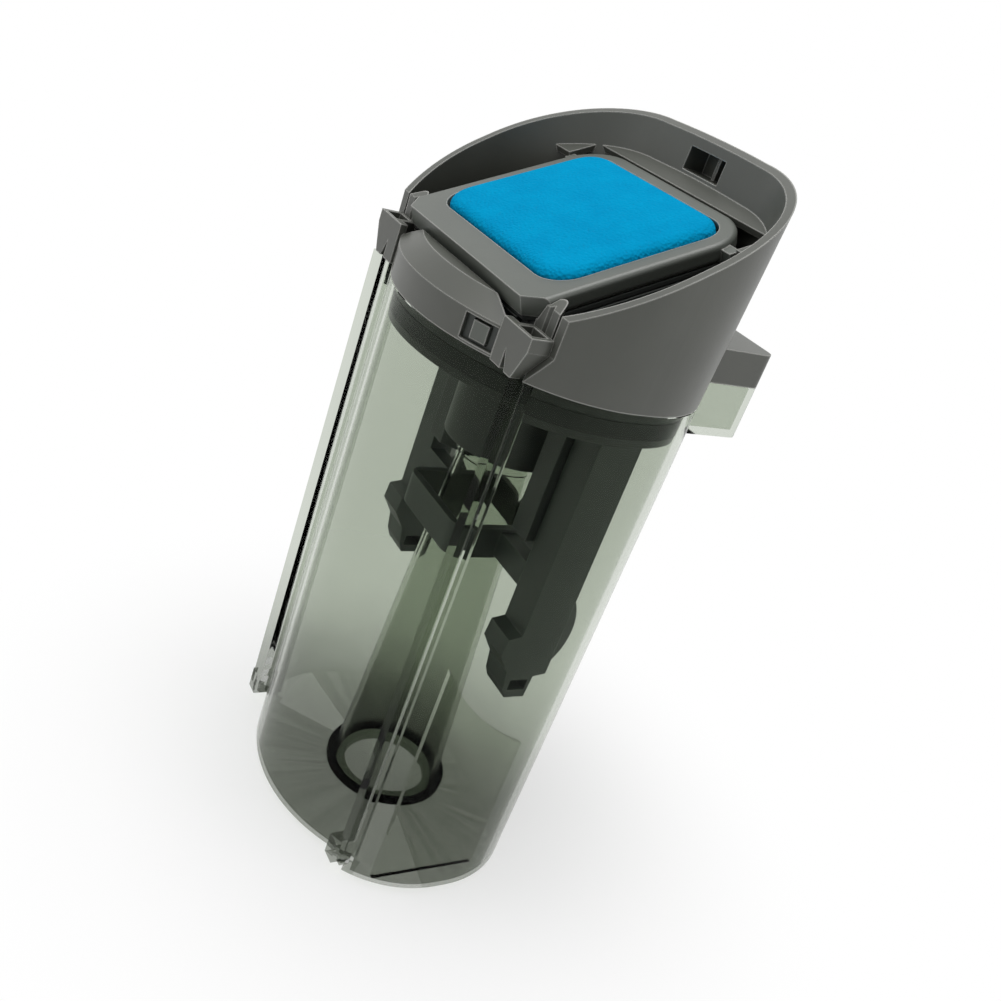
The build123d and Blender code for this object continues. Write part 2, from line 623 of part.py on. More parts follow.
def pad_plan(shrink=0.0):
    """Rounded plan of the sponge's seat, smaller all round by shrink."""
    front, back = slope_length(FILTER_FRONT_Y) + PAD_FRONT_MARGIN, slope_length(FILTER_BACK_Y) - PAD_MARGIN
    half = TRAY_HALF_WIDTH - PAD_MARGIN
    plate = RectangleRounded(2 * (half - shrink), back - front - 2 * shrink, PAD_CORNER - shrink)
    return Pos(0, (front + back) / 2) * plate


def slope_slab(plan, top, bottom):
    """Slab of this plan in the slope, between two depths below the tray's top face."""
    return on_slope(extrude(Pos(0, 0, -bottom) * plan, amount=bottom - top))


def filter_tray():
    """Light grey tray: a broad rim with a skirt below it and a ledge that carries the sponge."""
    rim = slope_slab(tray_plan(), 0, TRAY_THICKNESS)
    top = rim.faces().filter_by(GeomType.PLANE).sort_by(Axis.Z)[-1]
    rim = fillet(top.edges(), TRAY_EDGE)
    ear_plan = Pos(TRAY_HALF_WIDTH, slope_length(TRAY_EAR_Y)) * Rectangle(2 * TRAY_EAR, TRAY_EAR_LENGTH)
    ears = both_sides(slope_slab(ear_plan, TRAY_EDGE, TRAY_THICKNESS))
    skirt = slope_slab(tray_plan(TRAY_WALL + CLEAR), TRAY_THICKNESS, TRAY_THICKNESS + TRAY_SKIRT)
    well = slope_slab(pad_plan(), -OVER, PAD_THICKNESS - PAD_PROUD)
    inside = slope_slab(pad_plan(TRAY_WALL), 0, TRAY_THICKNESS + TRAY_SKIRT + OVER)
    return rim + ears + skirt - well - inside


def sponge_pad():
    """Blue sponge that fills the tray and stands proud of it."""
    pad = slope_slab(pad_plan(CLEAR), -PAD_PROUD, PAD_THICKNESS - PAD_PROUD)
    top = pad.faces().filter_by(GeomType.PLANE).sort_by(Axis.Z)[-1]
    return chamfer(top.edges(), PAD_PROUD / 2)


def pleated_filter():
    """Folded filter paper under the sponge, as one zigzag sheet."""
    top = PAD_THICKNESS - PAD_PROUD + CLEAR
    half = TRAY_HALF_WIDTH - PAD_MARGIN - TRAY_WALL - CLEAR
    front = slope_length(FILTER_FRONT_Y) + PAD_FRONT_MARGIN + TRAY_WALL + CLEAR
    back = slope_length(FILTER_BACK_Y) - PAD_MARGIN - TRAY_WALL - CLEAR
    pitch = 2 * half / PLEAT_COUNT
    upper, lower = [], []
    for i in range(PLEAT_COUNT):
        x = -half + i * pitch
        upper += [(x, -top - PLEAT_DEPTH + SHEET), (x + pitch / 2, -top)]
        lower += [(x, -top - PLEAT_DEPTH), (x + pitch / 2, -top - SHEET)]
    upper.append((half, -top - PLEAT_DEPTH + SHEET))
    lower.append((half, -top - PLEAT_DEPTH))
    zigzag = make_face(Polyline(*(upper + lower[::-1]), close=True))
    run = extrude(Plane.XZ * zigzag, amount=-(back - front))
    return on_slope(Pos(0, front, 0) * run) & slope_slab(pad_plan(TRAY_WALL + CLEAR), 0, 2 * TRAY_SKIRT)


def filter_seal():
    """Rubber ring under the tray's rim, round its skirt."""
    outer = slope_slab(tray_plan(CLEAR), TRAY_THICKNESS, TRAY_THICKNESS + TRAY_SEAL)
    return outer - slope_slab(tray_plan(TRAY_WALL + CLEAR), 0, 2 * TRAY_SKIRT)


def filter_well():
    """Sloped well on the deck that the tray's skirt drops into, with a support grille across its foot."""
    seat = TRAY_THICKNESS + TRAY_SEAL + CLEAR
    outer_shrink = TRAY_WALL + CLEAR - WELL_GAP - WELL_WALL
    inner_plan = tray_plan(outer_shrink + WELL_WALL)
    depth = 2 * FILTER_BACK_Y
    tube = slope_slab(tray_plan(outer_shrink), seat, depth)
    bay = block(0, BAY_HALF_WIDTH, BAY_FRONT_Y, BAY_BACK_Y, DECK_TOP, DECK_TOP + BAY_HEIGHT)
    bay_room = block(0, BAY_HALF_WIDTH - WELL_WALL, BAY_FRONT_Y + WELL_WALL, BAY_BACK_Y - WELL_WALL,
                     DECK_TOP - OVER, DECK_TOP + BAY_HEIGHT - WELL_WALL)
    tube = tube + both_sides(bay) - slope_slab(inner_plan, 0, depth + OVER) - both_sides(bay_room)
    inside_collar = extrude(Pos(0, 0, DECK_TOP) * inset(body_section(), COLLAR_WALL + FIT), amount=depth)
    tube &= inside_collar
    bottom = TRAY_THICKNESS + TRAY_SKIRT + CLEAR
    sheet = slope_slab(inner_plan, bottom, bottom + GRILLE_BAR)
    slots = []
    length = slope_length(FILTER_BACK_Y) - slope_length(FILTER_FRONT_Y)
    middle = (slope_length(FILTER_BACK_Y) + slope_length(FILTER_FRONT_Y)) / 2
    count = int(2 * TRAY_HALF_WIDTH / GRILLE_PITCH) - 1
    for i in range(count):
        x = (i - (count - 1) / 2) * GRILLE_PITCH
        slot = Box(GRILLE_PITCH - GRILLE_BAR, length - 2 * TRAY_CORNER, 4 * GRILLE_BAR)
        slots.append(on_slope(Pos(x, middle, -bottom) * slot))
    grille = (sheet & inside_collar) - slots
    pockets = both_sides(block(NOTCH_X - POCKET_LENGTH, HALF_WIDTH, POCKET_FRONT_Y, POCKET_BACK_Y + CLEAR, 0,
                               2 * FILTER_RISE))
    return tube + grille - pockets


# Separator hood and float

def separator_hood():
    """Dark hood below the deck: a cup over the riser's mouth between two side blocks."""
    top = SPLIT_Z - DECK
    side = block(HOOD_CHANNEL, HOOD_HALF_WIDTH, HOOD_FRONT_Y, HOOD_BACK_Y, HOOD_BOTTOM, top)
    corner = side.edges().filter_by(Axis.Z).sort_by(lambda e: e.center().X + e.center().Y)[0]
    side = chamfer(corner, HOOD_CHAMFER)
    cup = drum(0, RISER_Y, CUP_BOTTOM, top, CUP_RADIUS)
    room = drum(0, RISER_Y, CUP_BOTTOM - OVER, CUP_ROOF, CUP_RADIUS - CUP_WALL)
    bridge = block(-HOOD_CHANNEL - OVER, HOOD_CHANNEL + OVER, HOOD_FRONT_Y + BRIDGE_INSET,
                   HOOD_BACK_Y - BRIDGE_INSET, CUP_ROOF, top)
    return cup + bridge + both_sides(side) - room - screw_shanks(0)


def screw_shanks(gap):
    """Shanks of the two screws that hold the hood, larger all round by gap."""
    shanks = []
    for x, y in screw_places():
        shanks.append(drum(x, y, SPLIT_Z - SCREW_LENGTH, DECK_TOP, SCREW_RADIUS + gap))
    return shanks


def screw_places():
    """Middles of the two screws over the hood's side blocks."""
    x = (HOOD_CHANNEL + HOOD_HALF_WIDTH) / 2
    return [(side * x, (HOOD_BACK_Y + HOOD_FRONT_Y) / 2) for side in (-1, 1)]


def hood_screws():
    """Two screws from the deck down into the hood, each with a cross recess."""
    screws = []
    for x, y in screw_places():
        head = drum(x, y, DECK_TOP, DECK_TOP + SCREW_HEAD, SCREW_HEAD_RADIUS)
        head = chamfer(head.edges().sort_by(Axis.Z)[-1], SCREW_EDGE)
        recess = Box(RECESS_SLOT_LENGTH, RECESS_SLOT_WIDTH, SCREW_HEAD)
        recess += Box(RECESS_SLOT_WIDTH, RECESS_SLOT_LENGTH, SCREW_HEAD)
        shank = drum(x, y, SPLIT_Z - SCREW_LENGTH, DECK_TOP, SCREW_RADIUS)
        screws.append(head - Pos(x, y, DECK_TOP + SCREW_HEAD) * recess + shank)
    return Compound(screws)


def float_side():
    """Right-hand float: a long box with a hooked foot, a small eye and a rounded belly at the back."""
    front, back, foot = FLOAT_FRONT_Y, FLOAT_BACK_Y, FLOAT_FOOT
    hook, toe = front - FLOAT_HOOK, front + FLOAT_TOE
    belly_start = (back + FLOAT_BELLY / 4, foot + FLOAT_HEEL + FLOAT_BEVEL)
    belly_end = (back, foot + FLOAT_BELLY_TOP)
    belly_crown = (back + FLOAT_BELLY, (belly_start[1] + belly_end[1]) / 2 - 3 * FLOAT_BEVEL)
    outline = make_face([
        Polyline(belly_end, (back, FLOAT_TOP), (front, FLOAT_TOP), (front, foot + FLOAT_HOOK_HIGH),
                 (hook + FLOAT_BEVEL, foot + FLOAT_HOOK_HIGH - 2 * FLOAT_BEVEL),
                 (hook, foot + 0.7 * FLOAT_HOOK_HIGH), (front - FLOAT_BEVEL, foot + FLOAT_HOOK_LOW),
                 (front + FLOAT_BEVEL, foot + FLOAT_HOOK_LOW / 3), (front + 4 * FLOAT_BEVEL, foot),
                 (toe, foot), (toe + FLOAT_BEVEL, foot + FLOAT_HEEL - FLOAT_BEVEL), belly_start),
        ThreePointArc(belly_start, belly_crown, belly_end),
    ])
    body = Pos(FLOAT_INNER_X, 0, 0) * extrude(Plane.YZ * outline, amount=FLOAT_OUTER_X - FLOAT_INNER_X)
    side = FLOAT_CUT * sqrt(2)
    cut = Pos(FLOAT_INNER_X, back, 0) * Rot(0, 0, 45) * Box(side, side, 3 * FLOAT_TOP)
    eye_start = front + 4 * FLOAT_BEVEL
    eye = block(FLOAT_INNER_X - OVER, FLOAT_OUTER_X + OVER, eye_start, eye_start + EYE_LENGTH,
                foot + EYE_LOW, foot + EYE_HIGH)
    belly = block(FLOAT_INNER_X, FLOAT_OUTER_X, front, 2 * back, 0, foot + FLOAT_BELLY_TOP)
    step = block(FLOAT_OUTER_X - BELLY_INSET, FLOAT_OUTER_X + OVER, back, 2 * back, 0, FLOAT_TOP + OVER)
    return body - (cut - belly) - eye - step


def float_frame():
    """Square ring round the riser with the two straps that tie the side floats together."""
    outside = Pos(0, RISER_Y, RING_BOTTOM) * RectangleRounded(2 * RING_OUTER, 2 * RING_OUTER, RING_CORNER)
    window = Pos(0, RISER_Y, RING_BOTTOM) * Rectangle(2 * RING_INNER, 2 * RING_INNER)
    strap = block(RING_INNER, FLOAT_INNER_X, FLOAT_FRONT_Y, FLOAT_FRONT_Y + STRAP_WIDTH,
                  RING_BOTTOM + STRAP_INSET, RING_TOP - STRAP_INSET)
    return extrude(outside - window, amount=RING_TOP - RING_BOTTOM) + both_sides(strap)


def valve_pad():
    """Rubber pad on top of the right float, which closes the air port."""
    return drum(PORT_X, PORT_Y, FLOAT_TOP, FLOAT_TOP + VALVE_PAD, PORT_RADIUS + VALVE_SEAT_WALL)


def write(name, shape):
    """Move a finished piece to the tank's origin and save it under its own name."""
    placed = Pos(0, -MIDDLE_Y, 0) * shape
    export_step(placed, f"parts/{name}.step")
    return placed


def main():
    """Build every piece of the tank and save it."""
    os.makedirs("parts", exist_ok=True)
    singles = {
        "tank_vessel": vessel, "riser_pipe": riser, "inlet_gasket": inlet_gasket,
        "splash_panel": splash_panel, "lid_base": lid_base, "lid_seal": lid_seal, "collar": collar,
        "lug_cap": lug_cap, "front_cap": front_cap, "filter_tray": filter_tray, "sponge_pad": sponge_pad,
        "pleated_filter": pleated_filter, "filter_seal": filter_seal, "filter_well": filter_well,
        "separator_hood": separator_hood, "hood_screws": hood_screws, "float_frame": float_frame,
    }
    pairs = {"catch_bezel": catch_bezel, "catch_button": catch, "catch_spring": catch_spring,
             "side_float": float_side, "valve_pad": valve_pad}
    for name, build in singles.items():
        write(name, build())
    for name, build in pairs.items():
        right, left = both_sides(build())
        write(f"right_{name}", right)
        write(f"left_{name}", left)


if __name__ == "__main__":
    main()
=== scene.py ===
"""Looks of the dirty water tank: finishes of its moulded shells, its foam pad, and a plain studio."""

import json
import logging
from dataclasses import dataclass, field
from enum import Enum
from math import atan2, radians
from typing import Any, Iterable, Sequence

import bpy
from mathutils import Matrix, Vector

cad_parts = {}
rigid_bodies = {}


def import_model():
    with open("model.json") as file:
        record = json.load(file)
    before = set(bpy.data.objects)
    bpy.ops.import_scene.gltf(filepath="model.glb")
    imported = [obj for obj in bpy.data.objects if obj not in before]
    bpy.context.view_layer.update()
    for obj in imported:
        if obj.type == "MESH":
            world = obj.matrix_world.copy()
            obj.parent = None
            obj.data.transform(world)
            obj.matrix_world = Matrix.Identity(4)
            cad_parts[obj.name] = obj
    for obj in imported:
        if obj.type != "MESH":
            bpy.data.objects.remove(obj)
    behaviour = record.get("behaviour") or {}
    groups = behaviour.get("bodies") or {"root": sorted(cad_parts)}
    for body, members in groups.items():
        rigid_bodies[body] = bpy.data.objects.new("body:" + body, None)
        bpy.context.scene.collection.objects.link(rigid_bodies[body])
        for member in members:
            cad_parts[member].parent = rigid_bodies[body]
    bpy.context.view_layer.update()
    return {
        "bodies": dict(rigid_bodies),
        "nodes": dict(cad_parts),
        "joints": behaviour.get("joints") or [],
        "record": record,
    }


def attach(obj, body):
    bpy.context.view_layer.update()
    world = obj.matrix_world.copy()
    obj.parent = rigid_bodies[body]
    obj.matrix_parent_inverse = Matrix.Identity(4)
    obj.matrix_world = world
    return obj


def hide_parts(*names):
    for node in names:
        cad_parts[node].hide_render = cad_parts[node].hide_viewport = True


LOG = logging.getLogger("tank")
MM = 0.001

Triple = tuple[float, float, float]
Colour = Triple
WHITE = (1.0, 1.0, 1.0, 1.0)


def linear(red: int, green: int, blue: int) -> Colour:
    """Turn a colour as the eye reads it on a screen, 0 to 255, into the light values of a shader."""
    def channel(value: int) -> float:
        """Undo the screen's transfer curve for one channel."""
        share = value / 255
        return share / 12.92 if share <= 0.04045 else ((share + 0.055) / 1.055) ** 2.4
    return channel(red), channel(green), channel(blue)


class Pattern(Enum):
    """Which procedural texture a surface's relief comes from."""

    GRAIN = "grain"
    CELLS = "cells"


# Shader wiring

class Wiring:
    """A small builder for one node tree: adds nodes, links sockets and sets plain values."""

    def __init__(self, tree: bpy.types.NodeTree) -> None:
        """Start on this tree."""
        self.tree = tree

    def add(self, kind: str, **values: Any) -> bpy.types.Node:
        """Add a node.

        Args:
            kind: Blender's type name of the node.
            **values: properties that are set on the node.

        Returns:
            The new node.
        """
        node = self.tree.nodes.new(kind)
        for name, value in values.items():
            setattr(node, name, value)
        return node

    def link(self, source: bpy.types.NodeSocket, target: bpy.types.NodeSocket) -> None:
        """Join an output to an input."""
        self.tree.links.new(source, target)

    def place(self, group: bpy.types.NodeTree, **inputs: Any) -> bpy.types.Node:
        """Place a node group in this tree.

        Args:
            group: the group's own tree.
            **inputs: values of its inputs, with underscores for the spaces in their names.

        Returns:
            The group node.
        """
        node = self.add("ShaderNodeGroup")
        node.node_tree = group
        for name, value in inputs.items():
            node.inputs[name.replace("_", " ")].default_value = value
        return node


class SharedEffects:
    """The effects that several finishes use, each built once as a node group."""

    FINE_DETAIL = 3.0
    BROAD_GRAIN = 240.0
    BROAD_SHARE = 0.25
    CELL_SMOOTHNESS = 0.6
    PATCH_DETAIL = 5.0
    PATCH_SPREAD = (0.35, 0.65)              # noise at which a patch starts and is full
    EDGE_ROUNDING = 0.45 * MM
    EDGE_SAMPLES = 6
    EDGE_TURN = (0.995, 0.90)                # cosine at which the painted edge highlight starts and is full
    FOOT_SHADE_RISE = (-0.28, 0.32, 0.905)         # the way up along which the painted shade fades
    FOOT_SHADE_PATCHES = 45.0
    FOOT_SHADE_DETAIL = 4.0
    FOOT_SHADE_WAVE = 0.02                         # height of the unevenness of its upper edge

    def __init__(self) -> None:
        """Build every group."""
        self.relief = {Pattern.GRAIN: self._grain(), Pattern.CELLS: self._cells()}
        self.tone = self._tone()
        self.soft_edge = self._normal("soft_edge_relief", self.EDGE_ROUNDING)
        self.plain_relief = self._normal("plain_relief", 0.0)
        # a painted highlight along outer edges, and painted shade near the foot of clear plastic
        self.painted_edge_highlight = self._painted_edge_highlight()
        self.painted_foot_shade = self._painted_foot_shade()

    @staticmethod
    def _open(name: str, inputs: Sequence[tuple[str, str, Any]],
              outputs: Sequence[tuple[str, str]]) -> tuple[Wiring, Any, Any]:
        """Make an empty group with its sockets.

        Args:
            name: name of the group.
            inputs: name, socket type and default value of each input.
            outputs: name and socket type of each output.

        Returns:
            The wiring of the group, its input node and its output node.
        """
        tree = bpy.data.node_groups.new(name, "ShaderNodeTree")
        for label, kind, default in inputs:
            socket = tree.interface.new_socket(name=label, in_out="INPUT", socket_type=kind)
            socket.default_value = default
        for label, kind in outputs:
            tree.interface.new_socket(name=label, in_out="OUTPUT", socket_type=kind)
        wiring = Wiring(tree)
        return wiring, wiring.add("NodeGroupInput"), wiring.add("NodeGroupOutput")

    @staticmethod
    def _blend(wiring: Wiring, source: bpy.types.Node, target: bpy.types.Node,
               share: bpy.types.NodeSocket, second: str) -> None:
        """Mix the group's colour with a second one and hand the result out.

        Args:
            wiring: wiring of the group.
            source: the group's input node.
            target: the group's output node.
            share: how much of the second colour shows.
            second: name of the input with the second colour.
        """
        mix = wiring.add("ShaderNodeMix", data_type="RGBA")
        wiring.link(share, mix.inputs["Factor"])
        wiring.link(source.outputs["Colour"], mix.inputs["A"])
        wiring.link(source.outputs[second], mix.inputs["B"])
        wiring.link(mix.outputs["Result"], target.inputs["Colour"])

    def _grain(self) -> bpy.types.NodeTree:
        """Fine spark-eroded texture of a mould: two sizes of noise in one height."""
        wiring, source, target = self._open(
            "mould_grain", [("Fineness", "NodeSocketFloat", 2500.0)], [("Height", "NodeSocketFloat")])
        place = wiring.add("ShaderNodeTexCoord")
        fine = wiring.add("ShaderNodeTexNoise")
        fine.inputs["Detail"].default_value = self.FINE_DETAIL
        broad = wiring.add("ShaderNodeTexNoise")
        broad.inputs["Scale"].default_value = self.BROAD_GRAIN
        mix = wiring.add("ShaderNodeMix", data_type="FLOAT")
        mix.inputs["Factor"].default_value = self.BROAD_SHARE
        for noise in (fine, broad):
            wiring.link(place.outputs["Object"], noise.inputs["Vector"])
        wiring.link(source.outputs["Fineness"], fine.inputs["Scale"])
        wiring.link(fine.outputs["Fac"], mix.inputs["A"])
        wiring.link(broad.outputs["Fac"], mix.inputs["B"])
        wiring.link(mix.outputs["Result"], target.inputs["Height"])
        return wiring.tree

    def _cells(self) -> bpy.types.NodeTree:
        """Open cells of a foam: rounded pits of uneven size."""
        wiring, source, target = self._open(
            "foam_cells", [("Fineness", "NodeSocketFloat", 1400.0)], [("Height", "NodeSocketFloat")])
        place = wiring.add("ShaderNodeTexCoord")
        pits = wiring.add("ShaderNodeTexVoronoi", feature="SMOOTH_F1")
        pits.inputs["Smoothness"].default_value = self.CELL_SMOOTHNESS
        wiring.link(place.outputs["Object"], pits.inputs["Vector"])
        wiring.link(source.outputs["Fineness"], pits.inputs["Scale"])
        wiring.link(pits.outputs["Distance"], target.inputs["Height"])
        return wiring.tree

    def _tone(self) -> bpy.types.NodeTree:
        """Uneven tone of a moulded or foamed colour: the colour is lighter and darker in soft patches."""
        wiring, source, target = self._open(
            "uneven_tone",
            [("Colour", "NodeSocketColor", WHITE), ("Patch Colour", "NodeSocketColor", WHITE),
             ("Fineness", "NodeSocketFloat", 60.0), ("Amount", "NodeSocketFloat", 0.5)],
            [("Colour", "NodeSocketColor")])
        place = wiring.add("ShaderNodeTexCoord")
        noise = wiring.add("ShaderNodeTexNoise")
        noise.inputs["Detail"].default_value = self.PATCH_DETAIL
        spread = wiring.add("ShaderNodeMapRange")
        spread.inputs["From Min"].default_value, spread.inputs["From Max"].default_value = self.PATCH_SPREAD
        share = wiring.add("ShaderNodeMath", operation="MULTIPLY")
        wiring.link(place.outputs["Object"], noise.inputs["Vector"])
        wiring.link(source.outputs["Fineness"], noise.inputs["Scale"])
        wiring.link(noise.outputs["Fac"], spread.inputs["Value"])
        wiring.link(spread.outputs["Result"], share.inputs[0])
        wiring.link(source.outputs["Amount"], share.inputs[1])
        self._blend(wiring, source, target, share.outputs["Value"], "Patch Colour")
        return wiring.tree

    def _normal(self, name: str, radius: float) -> bpy.types.NodeTree:
        """The surface's relief as a normal, on the small rounding that a moulded edge has.

        Args:
            name: name of the group.
            radius: radius of the rounding, or nought for none, as on clear plastic.

        Returns:
            The group.
        """
        wiring, source, target = self._open(
            name, [("Height", "NodeSocketFloat", 0.0), ("Depth", "NodeSocketFloat", 0.02 * MM)],
            [("Normal", "NodeSocketVector")])
        bump = wiring.add("ShaderNodeBump")
        bump.inputs["Strength"].default_value = 1.0
        wiring.link(source.outputs["Height"], bump.inputs["Height"])
        wiring.link(source.outputs["Depth"], bump.inputs["Distance"])
        if radius:
            edge = wiring.add("ShaderNodeBevel", samples=self.EDGE_SAMPLES)
            edge.inputs["Radius"].default_value = radius
            wiring.link(edge.outputs["Normal"], bump.inputs["Normal"])
        wiring.link(bump.outputs["Normal"], target.inputs["Normal"])
        return wiring.tree

    def _painted_edge_highlight(self) -> bpy.types.NodeTree:
        """Painted highlight: a lighter colour along outer edges, where light glints on a rounded edge."""
        wiring, source, target = self._open(
            "painted_edge_highlight",
            [("Colour", "NodeSocketColor", WHITE), ("Rubbed Colour", "NodeSocketColor", WHITE),
             ("Amount", "NodeSocketFloat", 0.6), ("Width", "NodeSocketFloat", 0.6 * MM)],
            [("Colour", "NodeSocketColor")])
        edge = wiring.add("ShaderNodeBevel", samples=self.EDGE_SAMPLES)
        plain = wiring.add("ShaderNodeNewGeometry")
        turn = wiring.add("ShaderNodeVectorMath", operation="DOT_PRODUCT")
        spread = wiring.add("ShaderNodeMapRange")
        spread.inputs["From Min"].default_value, spread.inputs["From Max"].default_value = self.EDGE_TURN
        share = wiring.add("ShaderNodeMath", operation="MULTIPLY")
        wiring.link(source.outputs["Width"], edge.inputs["Radius"])
        wiring.link(edge.outputs["Normal"], turn.inputs[0])
        wiring.link(plain.outputs["Normal"], turn.inputs[1])
        wiring.link(turn.outputs["Value"], spread.inputs["Value"])
        wiring.link(spread.outputs["Result"], share.inputs[0])
        wiring.link(source.outputs["Amount"], share.inputs[1])
        self._blend(wiring, source, target, share.outputs["Value"], "Rubbed Colour")
        return wiring.tree

    def _painted_foot_shade(self) -> bpy.types.NodeTree:
        """Painted shade that darkens clear plastic near the foot, standing in for the shadow and extra
        walls seen through there, with an uneven upper edge.
        """
        wiring, source, target = self._open(
            "painted_foot_shade",
            [("Colour", "NodeSocketColor", WHITE), ("Film Colour", "NodeSocketColor", WHITE),
             ("Clear Height", "NodeSocketFloat", 60 * MM), ("Full Height", "NodeSocketFloat", 10 * MM)],
            [("Colour", "NodeSocketColor")])
        place = wiring.add("ShaderNodeTexCoord")
        lean = wiring.add("ShaderNodeVectorMath", operation="DOT_PRODUCT")
        lean.inputs[1].default_value = self.FOOT_SHADE_RISE
        noise = wiring.add("ShaderNodeTexNoise")
        noise.inputs["Scale"].default_value = self.FOOT_SHADE_PATCHES
        noise.inputs["Detail"].default_value = self.FOOT_SHADE_DETAIL
        wave = wiring.add("ShaderNodeMath", operation="MULTIPLY_ADD")
        wave.inputs[1].default_value = self.FOOT_SHADE_WAVE
        level = wiring.add("ShaderNodeMapRange", interpolation_type="SMOOTHSTEP")
        wiring.link(place.outputs["Object"], lean.inputs[0])
        wiring.link(place.outputs["Object"], noise.inputs["Vector"])
        wiring.link(noise.outputs["Fac"], wave.inputs[0])
        wiring.link(lean.outputs["Value"], wave.inputs[2])
        wiring.link(wave.outputs["Value"], level.inputs["Value"])
        wiring.link(source.outputs["Clear Height"], level.inputs["From Min"])
        wiring.link(source.outputs["Full Height"], level.inputs["From Max"])
        self._blend(wiring, source, target, level.outputs["Result"], "Film Colour")
        return wiring.tree


# Finishes

@dataclass(frozen=True)
class Finish:
    """What all finishes share: a name, a colour with its patches, and a relief."""

    name: str
    colour: Colour
    patch: Colour
    roughness: float
    roughness_spread: float = 0.06
    patch_fineness: float = 60.0
    patch_amount: float = 0.5
    relief: Pattern = Pattern.GRAIN
    relief_fineness: float = 2500.0
    relief_depth: float = 0.02 * MM
    soft_edges: bool = True

    def build(self, effects: SharedEffects) -> bpy.types.Material:
        """Make the material.

        Args:
            effects: the shared node groups.

        Returns:
            The finished material.
        """
        material = bpy.data.materials.new(self.name)
        material.use_nodes = True
        wiring = Wiring(material.node_tree)
        shader = material.node_tree.nodes["Principled BSDF"]
        tone = wiring.place(effects.tone, Colour=(*self.colour, 1.0), Patch_Colour=(*self.patch, 1.0),
                            Fineness=self.patch_fineness, Amount=self.patch_amount)
        gloss = wiring.add("ShaderNodeMapRange")
        gloss.inputs["To Min"].default_value = self.roughness - self.roughness_spread
        gloss.inputs["To Max"].default_value = self.roughness + self.roughness_spread
        relief = wiring.place(effects.relief[self.relief], Fineness=self.relief_fineness)
        normal = wiring.place(effects.soft_edge if self.soft_edges else effects.plain_relief,
                              Depth=self.relief_depth)
        wiring.link(self.top_colour(tone.outputs["Colour"], effects, wiring), shader.inputs["Base Color"])
        wiring.link(relief.outputs["Height"], gloss.inputs["Value"])
        wiring.link(gloss.outputs["Result"], shader.inputs["Roughness"])
        wiring.link(relief.outputs["Height"], normal.inputs["Height"])
        wiring.link(normal.outputs["Normal"], shader.inputs["Normal"])
        self.special(shader, wiring)
        return material

    def top_colour(self, colour: bpy.types.NodeSocket, effects: SharedEffects,
                   wiring: Wiring) -> bpy.types.NodeSocket:
        """Add what lies on the plain colour; a plain finish has nothing there."""
        return colour

    def special(self, shader: bpy.types.Node, wiring: Wiring) -> None:
        """Set what only this kind of finish has; a plain one has nothing."""


@dataclass(frozen=True)
class Moulded(Finish):
    """Hard moulded plastic with a painted highlight along its edges."""

    # colour and strength of the painted highlight along the edges
    painted_highlight: Colour = (0.5, 0.5, 0.47)
    painted_highlight_amount: float = 0.8

    def top_colour(self, colour: bpy.types.NodeSocket, effects: SharedEffects,
                   wiring: Wiring) -> bpy.types.NodeSocket:
        """Paint a highlight along the edges."""
        edge = wiring.place(effects.painted_edge_highlight, Rubbed_Colour=(*self.painted_highlight, 1.0),
                            Amount=self.painted_highlight_amount)
        wiring.link(colour, edge.inputs["Colour"])
        return edge.outputs["Colour"]


@dataclass(frozen=True)
class SmokedClear(Finish):
    """Clear moulded plastic with a smoky tint, slow shallow waves and painted shade that darkens it near
    its foot.
    """

    roughness_spread: float = 0.02
    patch_fineness: float = 18.0
    relief_fineness: float = 30.0
    relief_depth: float = 0.01 * MM
    soft_edges: bool = False
    refraction: float = 1.09
    # colour of the painted shade at the foot
    foot_shade: Colour = (0.39, 0.405, 0.375)
    shadow_tint: Colour = (0.9, 0.915, 0.885)

    def top_colour(self, colour: bpy.types.NodeSocket, effects: SharedEffects,
                   wiring: Wiring) -> bpy.types.NodeSocket:
        """Darken the foot with painted shade."""
        foot_shade = wiring.place(effects.painted_foot_shade, Film_Colour=(*self.foot_shade, 1.0))
        wiring.link(colour, foot_shade.inputs["Colour"])
        return foot_shade.outputs["Colour"]

    def special(self, shader: bpy.types.Node, wiring: Wiring) -> None:
        """Let light through, refracted for the eye and straight from the lamps to what is inside."""
        shader.inputs["Transmission Weight"].default_value = 1.0
        shader.inputs["IOR"].default_value = self.refraction
        path = wiring.add("ShaderNodeLightPath")
        through = wiring.add("ShaderNodeBsdfTransparent")
        through.inputs["Color"].default_value = (*self.shadow_tint, 1.0)
        mix = wiring.add("ShaderNodeMixShader")
        output = wiring.tree.nodes["Material Output"]
        wiring.link(path.outputs["Is Shadow Ray"], mix.inputs["Fac"])
        wiring.link(shader.outputs["BSDF"], mix.inputs[1])
        wiring.link(through.outputs["BSDF"], mix.inputs[2])
        wiring.link(mix.outputs["Shader"], output.inputs["Surface"])


@dataclass(frozen=True)
class Foam(Finish):
    """Open-cell foam with hardly any shine."""

    shine: float = 0.04

    def special(self, shader: bpy.types.Node, wiring: Wiring) -> None:
        """Leave almost no shine on the torn cells."""
        shader.inputs["Specular IOR Level"].default_value = self.shine


@dataclass(frozen=True)
class Metal(Finish):
    """Plain plated steel."""

    def special(self, shader: bpy.types.Node, wiring: Wiring) -> None:
        """Make it a metal all over."""
        shader.inputs["Metallic"].default_value = 1.0


